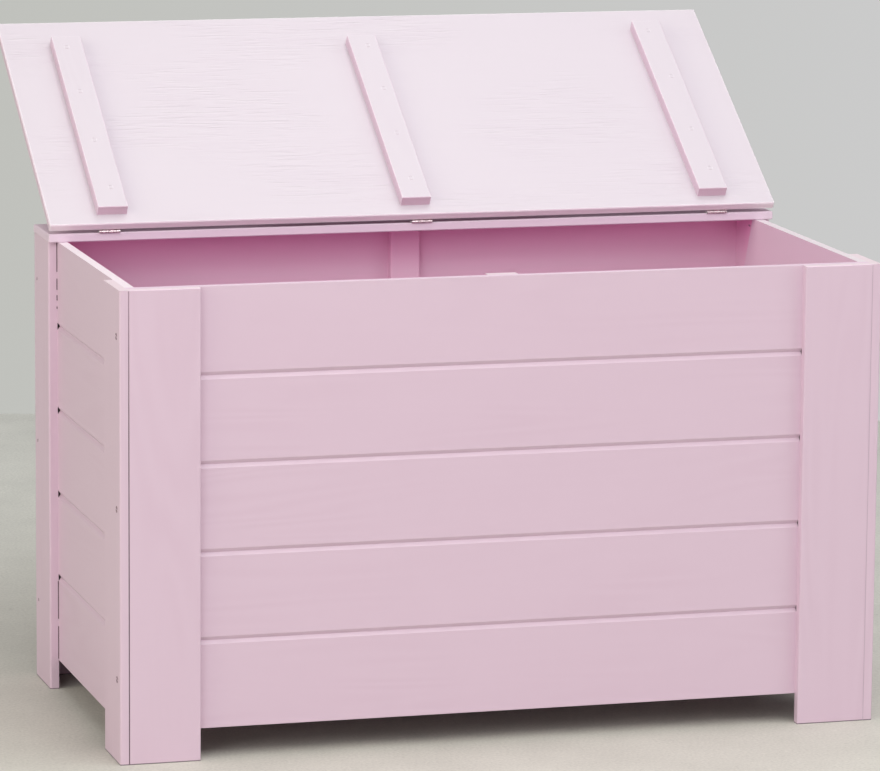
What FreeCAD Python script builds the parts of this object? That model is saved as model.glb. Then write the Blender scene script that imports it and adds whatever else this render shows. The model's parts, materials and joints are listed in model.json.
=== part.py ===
import FreeCAD, Part
import Sketcher
import math
import os
import re

# Storage chest of painted tongue-and-groove boards with a hinged lid, standing open.
# X runs along the chest, Y from the front to the back and Z up. The origin is on the floor,
# under the middle of the box round the chest with its lid open.

SIZES = {
    # Chest
    "chest_length": 1000,
    "chest_depth": 520,
    "leg_height": 600,
    "foot_clearance": 39,
    # Corner legs
    "leg_thickness": 12,
    "leg_board_width": 91,
    "corner_easing": 2.5,
    "edge_easing": 0.8,
    # Walls of tongue-and-groove boards
    "wall_thickness": 12,
    "board_count": 5,
    "tongue_thickness": 4,
    "tongue_length": 5,
    "tongue_clearance": 0.2,
    "tongue_end_gap": 1,
    "chamfer_height": 4.8,
    "chamfer_depth": 3.4,
    # Battens inside the walls, under the lid and under the bottom
    "batten_width": 40,
    "batten_thickness": 14,
    # Bottom
    "bottom_thickness": 9,
    "bottom_fit": 0.5,
    # Hinge rail and lid
    "cover_thickness": 11,
    "cover_easing": 1.2,
    "rail_width": 99,
    "rail_setback": 2,
    "side_overhang": 1,
    "front_overhang": 4,
    "lid_gap": 3,
    "lid_rest_gap": 0.3,
    "lid_open_angle": 147,
    "lid_batten_left_length": 354,
    "lid_batten_middle_length": 343,
    "lid_batten_right_length": 361,
    "lid_batten_setback": 18,
    "lid_batten_inset": 85,
    "lid_batten_middle_shift": 2,
    # Butt hinges
    "hinge_length": 28,
    "hinge_leaf_width": 11,
    "hinge_leaf_thickness": 0.8,
    "hinge_pin_radius": 0.85,
    "hinge_pin_clearance": 0.05,
    "hinge_knuckle_count": 3,
    "hinge_knuckle_gap": 0.2,
    "hinge_inset": 80,
    "hinge_middle_shift": 5,
    "hinge_hole_spacing": 18,
    "hinge_hole_radius": 1.2,
    # Nails through the legs into the ends of the front and back walls, set below the face
    "nail_length": 40,
    "nail_radius": 1.25,
    "nail_setting": 0.8,
    "nail_clearance": 0.05,
    "nail_tip_gap": 1,
}

# Shares of a wall board's height at which the leg nails stand, in boards 1, 3 and 5
LEG_NAIL_SHARES = {0: 0.60, 2: 0.53, 4: 0.47}

doc = FreeCAD.newDocument("StorageChest")
sheet = doc.addObject("Spreadsheet::Sheet", "Sizes")
for row, (alias, number) in enumerate(SIZES.items(), start=1):
    sheet.set("A%d" % row, alias)
    sheet.set("B%d" % row, str(number))
    sheet.setAlias("B%d" % row, alias)
doc.recompute()


def bound(text):
    """Turn an expression in plain size names into one that reads the sheet."""
    return re.sub(r"[a-z_]+", lambda word: "Sizes." + word[0] if word[0] in SIZES else word[0], text)


def value(text):
    """Work out an expression in size names."""
    return float(sheet.evalExpression(bound(text)))


# Lengths and places that follow from the sizes
BOARD_HEIGHT = "((leg_height - foot_clearance) / board_count)"
SHELL = "(leg_thickness + wall_thickness)"
FRONT_RUN = "(chest_length - 2 * leg_thickness)"
SIDE_RUN = "(chest_depth - 2 * %s)" % SHELL
INNER_LENGTH = "(chest_length - 2 * %s)" % SHELL
COVER_LENGTH = "(chest_length + 2 * side_overhang)"
KNUCKLE_RADIUS = "(hinge_pin_radius + hinge_pin_clearance + hinge_leaf_thickness)"
RAIL_FRONT = "(chest_depth - rail_setback - rail_width)"
LID_EDGE = "(lid_gap / 2)"
LID_LENGTH = "(%s - lid_gap + front_overhang)" % RAIL_FRONT
COVER_TOP = "(leg_height + cover_thickness)"
# The lid's top is level with the rail's, and its underside closes just clear of the walls
LID_THICKNESS = "(cover_thickness - lid_rest_gap)"
# The open lid reaches furthest back just under the eased edge of its outer face
LID_REACH = "(-cos(lid_open_angle) * (%s + %s) - sin(lid_open_angle) * (%s + cover_easing))" % (
    LID_EDGE, LID_LENGTH, KNUCKLE_RADIUS)
FRONT = "(-(%s - %s + %s) / 2)" % (RAIL_FRONT, LID_EDGE, LID_REACH)
BACK = "(%s + chest_depth)" % FRONT
MIDDLE = "(%s + chest_depth / 2)" % FRONT
PIN_Y = "(%s + %s - %s)" % (FRONT, RAIL_FRONT, LID_EDGE)
PIN_Z = "(%s + %s)" % (COVER_TOP, KNUCKLE_RADIUS)
NAIL_HOLE_RADIUS = "(nail_radius + nail_clearance)"
# Turns about the vertical that face a piece's outer face to each side of the chest
FACING = {"front": 0, "back": 180, "left": -90, "right": 90}


def origin_plane(body, role):
    return [feature for feature in body.Origin.OriginFeatures if feature.Role == role][0]


def place(piece, x, y, z, turn="0", axis="0; 0; 1"):
    """Bind a piece's placement: a turn in degrees about an axis, then a move."""
    piece.setExpression("Placement", bound(
        "placement(vector(%s; %s; %s); rotation(vector(%s); %s))" % (x, y, z, axis, turn)))


def new_sketch(body, name, role, offset="0"):
    sketch = body.newObject("Sketcher::SketchObject", name)
    sketch.AttachmentSupport = [(origin_plane(body, role), "")]
    sketch.MapMode = "FlatFace"
    sketch.setExpression("AttachmentOffset.Base.z", bound(offset))
    return sketch


def dimension(sketch, geometry, point, x=None, y=None):
    """Dimension a point of the sketch from its origin."""
    for kind, text in (("DistanceX", x), ("DistanceY", y)):
        if text is not None:
            index = sketch.addConstraint(Sketcher.Constraint(kind, -1, 1, geometry, point, value(text)))
            sketch.setExpression("Constraints[%d]" % index, bound(text))


def add_outline(sketch, corners):
    """Draw a closed outline of straight lines with every corner dimensioned."""
    points = [FreeCAD.Vector(value(x), value(y), 0) for x, y in corners]
    first = sketch.GeometryCount
    count = len(points)
    for i in range(count):
        sketch.addGeometry(Part.LineSegment(points[i], points[(i + 1) % count]))
    for i in range(count):
        sketch.addConstraint(Sketcher.Constraint("Coincident", first + i, 2, first + (i + 1) % count, 1))
    for i, (x, y) in enumerate(corners):
        dimension(sketch, first + i, 1, x, y)


def add_circle(sketch, x, y, radius):
    centre = FreeCAD.Vector(value(x), value(y), 0)
    circle = sketch.addGeometry(Part.Circle(centre, FreeCAD.Vector(0, 0, 1), value(radius)))
    dimension(sketch, circle, 3, x, y)
    index = sketch.addConstraint(Sketcher.Constraint("Radius", circle, value(radius)))
    sketch.setExpression("Constraints[%d]" % index, bound(radius))


def rectangle(x0, x1, y0, y1):
    return [(x0, y0), (x1, y0), (x1, y1), (x0, y1)]


def new_body(label):
    body = doc.addObject("PartDesign::Body", label)
    body.Label = label
    return body


def add_pad(body, sketch, length, midplane=False):
    pad = body.newObject("PartDesign::Pad", "Pad")
    pad.Profile = sketch
    pad.Midplane = midplane
    pad.setExpression("Length", bound(length))
    doc.recompute()
    return pad


def cut_pocket(body, sketch, depth=None):
    """Cut a sketch to a depth against its normal, or right through both ways.

    A pocket that points away from the solid cuts nothing and shows no error, so the volume is compared.
    """
    before = body.Shape.Volume
    pocket = body.newObject("PartDesign::Pocket", "Pocket")
    pocket.Profile = sketch
    if depth is None:
        pocket.Type = "ThroughAll"
        pocket.Midplane = True
    else:
        pocket.setExpression("Length", bound(depth))
    doc.recompute()
    if not body.Shape.Volume < before:
        raise RuntimeError("nothing was cut from " + body.Label)
    return pocket


def mirror_lengthwise(body, features):
    """Repeat cuts at the other end of a piece that is symmetrical about its middle."""
    mirrored = body.newObject("PartDesign::Mirrored", "Mirrored")
    mirrored.Originals = features
    mirrored.MirrorPlane = (origin_plane(body, "YZ_Plane"), [""])
    body.Tip = mirrored
    doc.recompute()


def edges_where(feature, test):
    """Name the edges of a feature whose two end points both pass a test."""
    names = []
    for number, edge in enumerate(feature.Shape.Edges, start=1):
        if all(test(vertex.Point) for vertex in edge.Vertexes):
            names.append("Edge%d" % number)
    return names


def near(a, b):
    return abs(a - b) < value("edge_easing") / 100


def ease(body, feature, names, size, kind="PartDesign::Chamfer"):
    """Chamfer or round named edges of a body's last feature."""
    easing = body.newObject(kind, "Easing")
    easing.Base = (feature, names)
    easing.setExpression("Radius" if kind.endswith("Fillet") else "Size", bound(size))
    doc.recompute()
    return easing


def add_timber(label, length, thickness, height):
    """A board with its outer face at y = 0, centred on x = 0 and standing on z = 0."""
    body = new_body(label)
    sketch = new_sketch(body, label + "_section", "XY_Plane")
    half = "(%s) / 2" % length
    add_outline(sketch, rectangle("-" + half, half, "0", thickness))
    return body, add_pad(body, sketch, height)


def ease_outer_face(body, pad):
    names = edges_where(pad, lambda point: near(point.y, 0))
    return ease(body, pad, names, "edge_easing")


def ease_all(body, pad, size):
    names = ["Edge%d" % number for number in range(1, len(pad.Shape.Edges) + 1)]
    return ease(body, pad, names, size)


# Tongue-and-groove wall boards

def board_profile(bottom_board, top_board):
    """Section of a wall board: y is depth from the outer face, z height from its lower shoulder.

    The lowest board has no groove and no lower chamfer, and the top one no tongue and no
    upper chamfer, so that both of the wall's edges are square.
    """
    tongue_front = "((wall_thickness - tongue_thickness) / 2)"
    tongue_back = "((wall_thickness + tongue_thickness) / 2)"
    groove_front = "(%s - tongue_clearance)" % tongue_front
    groove_back = "(%s + tongue_clearance)" % tongue_back
    groove_depth = "(tongue_length + tongue_end_gap)"
    tongue_top = "(%s + tongue_length)" % BOARD_HEIGHT
    if bottom_board:
        corners = [("0", "0")]
    else:
        corners = [("chamfer_depth", "0"), ("0", "chamfer_height")]
    if top_board:
        corners += [("0", BOARD_HEIGHT), ("wall_thickness", BOARD_HEIGHT)]
    else:
        corners += [
            ("0", "%s - chamfer_height" % BOARD_HEIGHT),
            ("chamfer_depth", BOARD_HEIGHT),
            (tongue_front, BOARD_HEIGHT),
            (tongue_front, tongue_top),
            (tongue_back, tongue_top),
            (tongue_back, BOARD_HEIGHT),
            ("wall_thickness", BOARD_HEIGHT),
        ]
    corners.append(("wall_thickness", "0"))
    if not bottom_board:
        corners += [
            (groove_back, "0"),
            (groove_back, groove_depth),
            (groove_front, groove_depth),
            (groove_front, "0"),
        ]
    return corners


def build_wall(side, run, x, y, nailed):
    """Stack the boards of one wall; the front and back walls take nails in their ends."""
    board_count = int(value("board_count"))
    for i in range(board_count):
        body = new_body("%s_wall_board_%d" % (side, i + 1))
        section = new_sketch(body, body.Label + "_section", "YZ_Plane")
        add_outline(section, board_profile(i == 0, i == board_count - 1))
        add_pad(body, section, run, midplane=True)
        if nailed and i in LEG_NAIL_SHARES:
            hole = new_sketch(body, body.Label + "_end_hole", "YZ_Plane", "%s / 2" % run)
            height = "%s * %s" % (LEG_NAIL_SHARES[i], BOARD_HEIGHT)
            add_circle(hole, "wall_thickness / 2", height, NAIL_HOLE_RADIUS)
            depth = "nail_setting + nail_length - leg_thickness + nail_tip_gap"
            mirror_lengthwise(body, [cut_pocket(body, hole, depth)])
        place(body, x, y, "foot_clearance + %d * %s" % (i, BOARD_HEIGHT), str(FACING[side]))


build_wall("front", FRONT_RUN, "0", "%s + leg_thickness" % FRONT, True)
build_wall("back", FRONT_RUN, "0", "%s - leg_thickness" % BACK, True)
build_wall("left", SIDE_RUN, "-(chest_length / 2 - leg_thickness)", MIDDLE, False)
build_wall("right", SIDE_RUN, "chest_length / 2 - leg_thickness", MIDDLE, False)


# Corner legs, each a face board over the wall and a side board over its edge

def leg_nail_heights():
    return ["foot_clearance + (%d + %s) * %s" % (i, share, BOARD_HEIGHT)
            for i, share in LEG_NAIL_SHARES.items()]


def build_leg(end, flank):
    """One corner: end is front or back, flank is left or right."""
    label = "%s_%s_leg" % (end, flank)
    outward = -1 if flank == "left" else 1
    end_y = FRONT if end == "front" else BACK
    inward = 1 if end == "front" else -1
    face, pad = add_timber(label + "_face_board", "leg_board_width", "leg_thickness", "leg_height")
    ease_outer_face(face, pad)
    place(face, "%d * (chest_length / 2 - leg_thickness - leg_board_width / 2)" % outward, end_y, "0",
          str(FACING[end]))
    side, pad = add_timber(label + "_side_board", "leg_board_width", "leg_thickness", "leg_height")
    long_edges = edges_where(pad, lambda point: near(point.y, 0))
    upright = [name for name in long_edges if near(pad.Shape.getElement(name).BoundBox.XLength, 0)]
    ease(side, pad, upright, "corner_easing", "PartDesign::Fillet")
    hole_side = -outward * inward
    hole_x = "%d * (leg_board_width / 2 - leg_thickness - wall_thickness / 2)" % hole_side
    holes = new_sketch(side, side.Label + "_holes", "XZ_Plane")
    for height in leg_nail_heights():
        add_circle(holes, hole_x, height, NAIL_HOLE_RADIUS)
    cut_pocket(side, holes)
    place(side, "%d * chest_length / 2" % outward, "%s + %d * leg_board_width / 2" % (end_y, inward), "0",
          str(FACING[flank]))


for end in ("front", "back"):
    for flank in ("left", "right"):
        build_leg(end, flank)


# Bottom: a panel on cleats along the walls

def build_cleat(side, length, x, y):
    body, pad = add_timber(side + "_bottom_cleat", length, "batten_thickness", "batten_width")
    place(body, x, y, "foot_clearance", str(FACING[side]))


SIDE_CLEAT_RUN = "(%s - 2 * batten_thickness)" % SIDE_RUN
build_cleat("front", INNER_LENGTH, "0", "%s + %s" % (FRONT, SHELL))
build_cleat("back", INNER_LENGTH, "0", "%s - %s" % (BACK, SHELL))
build_cleat("left", SIDE_CLEAT_RUN, "-(chest_length / 2 - %s)" % SHELL, MIDDLE)
build_cleat("right", SIDE_CLEAT_RUN, "chest_length / 2 - %s" % SHELL, MIDDLE)

bottom, pad = add_timber("bottom_panel", "%s - 2 * bottom_fit" % INNER_LENGTH,
                         "%s - 2 * bottom_fit" % SIDE_RUN, "bottom_thickness")
place(bottom, "0", "%s + %s + bottom_fit" % (FRONT, SHELL), "foot_clearance + batten_width")


# Upright battens in the middle of the front and back walls, standing on the bottom

BATTEN_FOOT = "(foot_clearance + batten_width + bottom_thickness)"
for side, y in (("front", "%s + %s + batten_thickness" % (FRONT, SHELL)),
                ("back", "%s - %s - batten_thickness" % (BACK, SHELL))):
    batten, pad = add_timber(
        side + "_inner_batten", "batten_width", "batten_thickness", "leg_height - %s" % BATTEN_FOOT)
    ease_outer_face(batten, pad)
    place(batten, "0", y, BATTEN_FOOT, str(FACING["back" if side == "front" else "front"]))


# Hinge rail across the back of the top

rail, pad = add_timber("hinge_rail", COVER_LENGTH, "rail_width", "cover_thickness")
ease_all(rail, pad, "cover_easing")
place(rail, "0", "%s + %s" % (FRONT, RAIL_FRONT), "leg_height")


# Lid and its battens, drawn closed about the hinge pin's axis and turned open

OPEN_AXIS = "-1; 0; 0"


def place_on_lid(piece, x, y, z, turn="0"):
    """Place a piece given closed, about the pin's axis, and turned about X."""
    opened_y = "(%s) * cos(lid_open_angle) + (%s) * sin(lid_open_angle)" % (y, z)
    opened_z = "(%s) * cos(lid_open_angle) - (%s) * sin(lid_open_angle)" % (z, y)
    place(piece, x, "%s + %s" % (PIN_Y, opened_y), "%s + %s" % (PIN_Z, opened_z),
          "lid_open_angle - (%s)" % turn, OPEN_AXIS)


LID_FRONT = "-(%s + %s)" % (LID_EDGE, LID_LENGTH)
LID_UNDER = "-(%s + %s)" % (KNUCKLE_RADIUS, LID_THICKNESS)
LID_BATTENS = {
    "left": "-(chest_length / 2 - lid_batten_inset)",
    "middle": "-lid_batten_middle_shift",
    "right": "chest_length / 2 - lid_batten_inset",
}


def build_lid():
    body, pad = add_timber("lid_panel", COVER_LENGTH, LID_LENGTH, LID_THICKNESS)
    ease_all(body, pad, "cover_easing")
    place_on_lid(body, "0", LID_FRONT, LID_UNDER)


def build_lid_batten(name, x):
    body, pad = add_timber("lid_batten_" + name, "batten_width", "batten_thickness",
                            "lid_batten_%s_length" % name)
    ease_outer_face(body, pad)
    place_on_lid(body, x, "-(%s + lid_batten_setback)" % LID_EDGE, "%s - batten_thickness" % LID_UNDER, "90")


build_lid()
for name, x in LID_BATTENS.items():
    build_lid_batten(name, x)


# Butt hinges: two leaves rolled round a pin, with their knuckles in turn

HINGES = {
    "left": "-(chest_length / 2 - hinge_inset)",
    "middle": "hinge_middle_shift",
    "right": "chest_length / 2 - hinge_inset",
}


def build_leaf(label, direction, kept):
    """One leaf, with its plate towards +Y or -Y and the knuckles whose numbers are even or odd."""
    body = new_body(label)
    section = new_sketch(body, label + "_section", "YZ_Plane")
    radius = value(KNUCKLE_RADIUS)
    thickness = value("hinge_leaf_thickness")
    width = value("hinge_leaf_width")
    root = math.sqrt(radius ** 2 - (radius - thickness) ** 2)
    corners = [(0, -radius), (direction * width, -radius), (direction * width, thickness - radius),
               (direction * root, thickness - radius)]
    points = [FreeCAD.Vector(y, z, 0) for y, z in corners]
    for i in range(3):
        section.addGeometry(Part.LineSegment(points[i], points[i + 1]))
    # The roll runs anticlockwise, so it starts at the plate on one leaf and ends there on the other
    far_side = FreeCAD.Vector(-direction * radius, 0, 0)
    roll, arc_ends = ((3, 0), (1, 2)) if direction > 0 else ((0, 3), (2, 1))
    section.addGeometry(Part.Arc(points[roll[0]], far_side, points[roll[1]]))
    section.addConstraint(Sketcher.Constraint("Coincident", 0, 2, 1, 1))
    section.addConstraint(Sketcher.Constraint("Coincident", 1, 2, 2, 1))
    section.addConstraint(Sketcher.Constraint("Coincident", 2, 2, 3, arc_ends[0]))
    section.addConstraint(Sketcher.Constraint("Coincident", 3, arc_ends[1], 0, 1))
    section.addConstraint(Sketcher.Constraint("Coincident", 3, 3, -1, 1))
    plate_top = "hinge_leaf_thickness - %s" % KNUCKLE_RADIUS
    plate_end = "%d * hinge_leaf_width" % direction
    dimension(section, 0, 1, "0", "-%s" % KNUCKLE_RADIUS)
    dimension(section, 1, 1, plate_end, "-%s" % KNUCKLE_RADIUS)
    dimension(section, 2, 1, plate_end, plate_top)
    dimension(section, 3, arc_ends[0], None, plate_top)
    add_circle(section, "0", "0", "hinge_pin_radius + hinge_pin_clearance")
    add_pad(body, section, "hinge_length", midplane=True)
    notches = new_sketch(body, label + "_notches", "XY_Plane")
    pitch = "(hinge_length / hinge_knuckle_count)"
    reach = "(%s + hinge_knuckle_gap)" % KNUCKLE_RADIUS
    for i in range(int(value("hinge_knuckle_count"))):
        if i % 2 == kept:
            continue
        low = "%d * %s - hinge_length / 2 - hinge_knuckle_gap / 2" % (i, pitch)
        high = "%d * %s - hinge_length / 2 + hinge_knuckle_gap / 2" % (i + 1, pitch)
        add_outline(notches, rectangle(low, high, "-" + reach, reach))
    cut_pocket(body, notches)
    hole_y = "%d * (hinge_leaf_width + %s) / 2" % (direction, KNUCKLE_RADIUS)
    holes = new_sketch(body, label + "_holes", "XY_Plane")
    for sign in (-1, 1):
        add_circle(holes, "%d * hinge_hole_spacing / 2" % sign, hole_y, "hinge_hole_radius")
    cut_pocket(body, holes)
    return body


for name, x in HINGES.items():
    rail_leaf = build_leaf("hinge_%s_rail_leaf" % name, 1, 0)
    place(rail_leaf, x, PIN_Y, PIN_Z)
    lid_leaf = build_leaf("hinge_%s_lid_leaf" % name, -1, 1)
    place_on_lid(lid_leaf, x, "0", "0")
    pin = doc.addObject("Part::Cylinder", "hinge_%s_pin" % name)
    pin.Label = "hinge_%s_pin" % name
    pin.setExpression("Radius", bound("hinge_pin_radius"))
    pin.setExpression("Height", bound("hinge_length"))
    place(pin, "%s - hinge_length / 2" % x, PIN_Y, PIN_Z, "90", "0; 1; 0")


# Leg nails, a group of separate solids

X_AXIS = FreeCAD.Vector(1, 0, 0)
nails = []
for outward in (-1, 1):
    nail_x = value("%d * (chest_length / 2 - nail_setting)" % outward)
    for end_y, inward in ((FRONT, 1), (BACK, -1)):
        nail_y = value("%s + %d * (leg_thickness + wall_thickness / 2)" % (end_y, inward))
        for height in leg_nail_heights():
            head = FreeCAD.Vector(nail_x, nail_y, value(height))
            nails.append(Part.makeCylinder(value("nail_radius"), value("nail_length"), head, X_AXIS * -outward))
group = doc.addObject("Part::Feature", "leg_nails")
group.Shape = Part.makeCompound(nails)


# Check every object and write each piece

doc.recompute()
for item in doc.Objects:
    if "Invalid" in item.State or "Error" in item.State:
        raise RuntimeError("%s failed: %s" % (item.Label, item.State))
pieces = [item for item in doc.Objects
          if item.TypeId in ("PartDesign::Body", "Part::Cylinder", "Part::Feature")]
for piece in pieces:
    if piece.Shape.isNull() or not piece.Shape.isValid():
        raise RuntimeError("bad shape: " + piece.Label)
os.makedirs("parts", exist_ok=True)
for piece in pieces:
    piece.Shape.exportStep("parts/%s.step" % piece.Label)
print("%d pieces" % len(pieces))
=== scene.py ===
import json
import math
import bmesh
import bpy
from mathutils import Matrix, Vector


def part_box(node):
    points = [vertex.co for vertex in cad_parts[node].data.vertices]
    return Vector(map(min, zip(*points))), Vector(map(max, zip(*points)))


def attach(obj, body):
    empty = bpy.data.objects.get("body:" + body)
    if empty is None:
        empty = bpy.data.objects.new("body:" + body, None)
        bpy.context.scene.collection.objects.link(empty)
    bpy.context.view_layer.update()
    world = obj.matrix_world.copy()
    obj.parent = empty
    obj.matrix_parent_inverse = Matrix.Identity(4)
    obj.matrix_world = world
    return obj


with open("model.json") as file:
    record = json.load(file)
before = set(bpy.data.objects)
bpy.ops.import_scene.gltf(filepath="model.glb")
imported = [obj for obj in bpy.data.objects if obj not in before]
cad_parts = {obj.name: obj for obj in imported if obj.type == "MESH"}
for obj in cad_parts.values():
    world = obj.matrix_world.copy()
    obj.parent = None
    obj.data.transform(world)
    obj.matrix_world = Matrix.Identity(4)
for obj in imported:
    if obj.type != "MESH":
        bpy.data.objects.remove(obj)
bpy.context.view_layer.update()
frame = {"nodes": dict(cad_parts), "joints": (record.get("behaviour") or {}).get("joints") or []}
nodes = frame["nodes"]
mm = 0.001
print("frame loaded,", len(nodes), "nodes")

# The lid is drawn closed about its hinge pin and turned open, so pieces on it are placed the same way
hinge = frame["joints"][0]
pinPoint = Vector(hinge["pos_m"])
openAngle = math.radians(hinge["range_deg"][1])
lidOpen = Matrix.Translation(pinPoint) @ Matrix.Rotation(-openAngle, 4, "X")


def hexColour(code):
    # sRGB hex to the linear colour that the shaders take
    channels = [int(code[i:i + 2], 16) / 255 for i in (1, 3, 5)]
    linear = [c / 12.92 if c <= 0.04045 else ((c + 0.055) / 1.055) ** 2.4 for c in channels]
    return (*linear, 1)


def addNode(tree, kind, settings=None, inputs=None):
    node = tree.nodes.new("ShaderNode" + kind)
    for name, setting in (settings or {}).items():
        setattr(node, name, setting)
    for name, given in (inputs or {}).items():
        if isinstance(given, bpy.types.NodeSocket):
            tree.links.new(given, node.inputs[name])
        else:
            node.inputs[name].default_value = given
    return node


def newMaterial(name):
    material = bpy.data.materials.new(name)
    material.use_nodes = True
    material.node_tree.nodes.clear()
    return material, material.node_tree


# Camera: a long lens a little above and to the left, fitted to the chest's edges in the photograph
cameraView = {
    "place": (-1.850871, -6.490746, 1.572581),
    "right": (0.9611487, -0.2759118, 0.0081140),
    "down": (-0.0396695, -0.1671607, -0.9851313),
    "forward": (0.2731657, 0.9465358, -0.1716116),
    "lens": 210.24,
    "sensor": 36,
    "farthest": 100,
}
cameraData = bpy.data.cameras.new("camera")
cameraData.lens = cameraView["lens"]
cameraData.sensor_width = cameraView["sensor"]
cameraData.clip_end = cameraView["farthest"]
camera = bpy.data.objects.new("camera", cameraData)
bpy.context.scene.collection.objects.link(camera)
bpy.context.scene.camera = camera
turn = Matrix([cameraView["right"], [-c for c in cameraView["down"]],
               [-c for c in cameraView["forward"]]]).transposed()
camera.matrix_world = Matrix.Translation(cameraView["place"]) @ turn.to_4x4()
print("camera placed")


# Stage: a pale concrete floor that runs back to a grey backdrop. Lengths are in metres
stage = {
    "near": "#C5C3B9",        # dry, dusty concrete
    "far": "#DDDDD5",         # where it takes on the backdrop's grey
    "fadeStart": -0.9,        # along the view, from the chest's middle
    "depth": 1.96,            # from the chest's middle to the backdrop, along the view
    "reach": 14,
    "backdropLeft": "#C0C1BC",
    "backdropRight": "#CBCBCB",
    "backdropTurn": 0.09,     # how far to each side the backdrop's two greys are reached
    "cloud": 160 * mm,        # size of the cloudy patches, and how dark and light they get
    "cloudTone": (0.93, 1.05),
    "cloudDetail": (5, 0.62),
    "fleck": 22 * mm,         # lime flecks and dark pocks: noise levels between which they appear, and their tone
    "fleckTones": ((0.62, 0.70, 0.09), (0.38, 0.31, -0.08)),
    "fleckDetail": (4, 0.7),
    "grit": 4 * mm,
    "gritTones": ((0.52, 0.66, 0.07), (0.48, 0.34, -0.08)),
    "gritRelief": 0.8 * mm,
    "gritStrength": 0.25,
    "roughness": 0.6,
}
noiseSpan = {"From Min": 0.3, "From Max": 0.7}   # most of a noise texture's values lie between these
viewAlong = Vector((cameraView["forward"][0], cameraView["forward"][1], 0)).normalized()
viewAcross = Vector((viewAlong.y, -viewAlong.x, 0))

bpy.ops.object.select_all(action="DESELECT")
bpy.ops.mesh.primitive_plane_add(size=1, location=(0, 0, 0))
floor = bpy.context.object
floor.name = "studioFloor"
for vertex in floor.data.vertices:
    along = stage["depth"] if vertex.co.y > 0 else -stage["reach"]
    across = stage["reach"] * (1 if vertex.co.x > 0 else -1)
    vertex.co = viewAlong * along + viewAcross * across

concrete, tree = newMaterial("dustyConcrete")
place = addNode(tree, "TexCoord").outputs["Object"]
depth = addNode(tree, "VectorMath", {"operation": "DOT_PRODUCT"}, {0: place, 1: viewAlong}).outputs["Value"]
fade = addNode(tree, "MapRange", {"interpolation_type": "SMOOTHSTEP"}, {
    "Value": depth, "From Min": stage["fadeStart"], "From Max": stage["depth"]}).outputs["Result"]
patches = addNode(tree, "TexNoise", None, {
    "Vector": place, "Scale": 1 / stage["cloud"],
    "Detail": stage["cloudDetail"][0], "Roughness": stage["cloudDetail"][1]}).outputs["Fac"]
flecks = addNode(tree, "TexNoise", None, {
    "Vector": place, "Scale": 1 / stage["fleck"],
    "Detail": stage["fleckDetail"][0], "Roughness": stage["fleckDetail"][1]}).outputs["Fac"]
grit = addNode(tree, "TexNoise", None, {"Vector": place, "Scale": 1 / stage["grit"], "Detail": 2}).outputs["Fac"]
cloud = addNode(tree, "MapRange", None, {
    "Value": patches, **noiseSpan,
    "To Min": stage["cloudTone"][0], "To Max": stage["cloudTone"][1]}).outputs["Result"]
for field, tones in ((flecks, stage["fleckTones"]), (grit, stage["gritTones"])):
    for low, high, tone in tones:
        added = addNode(tree, "MapRange", None, {
            "Value": field, "From Min": low, "From Max": high, "To Max": tone}).outputs["Result"]
        cloud = addNode(tree, "Math", {"operation": "ADD"}, {0: cloud, 1: added}).outputs["Value"]
tone = addNode(tree, "Mix", {"data_type": "RGBA"}, {
    "Factor": fade, 6: hexColour(stage["near"]), 7: hexColour(stage["far"])}).outputs[2]
mottled = addNode(tree, "VectorMath", {"operation": "SCALE"}, {0: tone, "Scale": cloud}).outputs["Vector"]
relief = addNode(tree, "Bump", None, {
    "Height": grit, "Strength": stage["gritStrength"], "Distance": stage["gritRelief"]}).outputs["Normal"]
shader = addNode(tree, "BsdfPrincipled", None, {
    "Base Color": mottled, "Roughness": stage["roughness"], "Normal": relief})
addNode(tree, "OutputMaterial", None, {"Surface": shader.outputs["BSDF"]})
floor.data.materials.append(concrete)

# The world lights the chest dimly from all round, and shows the backdrop to the camera and in reflections
studio = {
    "ambient": "#FBFBFF",
    "ambientStrength": 0.27,
}
world = bpy.data.worlds.new("studio")
bpy.context.scene.world = world
world.use_nodes = True
tree = world.node_tree
tree.nodes.clear()
toward = addNode(tree, "TexCoord").outputs["Generated"]
sideways = addNode(tree, "VectorMath", {"operation": "DOT_PRODUCT"}, {0: toward, 1: viewAcross}).outputs["Value"]
share = addNode(tree, "MapRange", None, {
    "Value": sideways, "From Min": -stage["backdropTurn"], "From Max": stage["backdropTurn"]}).outputs["Result"]
paper = addNode(tree, "Mix", {"data_type": "RGBA"}, {
    "Factor": share, 6: hexColour(stage["backdropLeft"]), 7: hexColour(stage["backdropRight"])}).outputs[2]
backdrop = addNode(tree, "Background", None, {"Color": paper, "Strength": 1}).outputs["Background"]
ambient = addNode(tree, "Background", None, {
    "Color": hexColour(studio["ambient"]), "Strength": studio["ambientStrength"]}).outputs["Background"]
rays = addNode(tree, "LightPath").outputs
seen = rays["Is Camera Ray"]
for ray in ("Is Glossy Ray", "Is Transmission Ray"):
    seen = addNode(tree, "Math", {"operation": "MAXIMUM"}, {0: seen, 1: rays[ray]}).outputs["Value"]
shown = addNode(tree, "MixShader", None, {0: seen, 1: ambient, 2: backdrop}).outputs["Shader"]
addNode(tree, "OutputWorld", None, {"Surface": shown})

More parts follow.
